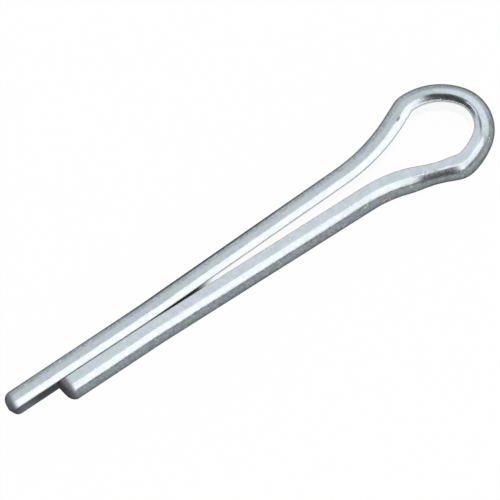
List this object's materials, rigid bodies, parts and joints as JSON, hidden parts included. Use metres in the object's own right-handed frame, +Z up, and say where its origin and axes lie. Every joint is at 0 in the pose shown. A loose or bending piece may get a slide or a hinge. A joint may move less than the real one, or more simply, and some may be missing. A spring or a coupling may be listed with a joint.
{
  "type": "cotter pin",
  "caption": "Split pin of half-round wire: two flat-faced legs closed into a round shank, the outer one longer, joined by a pear-shaped eye.",
  "frame": {"origin": "centre of the pin's footprint, on the surface it lies on", "axes": "+X along the pin from the leg tips to the eye; +Z up, square to the plane of the eye; +Y towards the long leg"},
  "size_m": [0.0578, 0.0106, 0.0045],
  "materials": {
    "plated_steel": "bright zinc plating over drawn steel wire, with faint draw lines and mottling"
  },
  "bodies": {
    "root": {"split_pin": "plated_steel"}
  },
  "joints": []
}
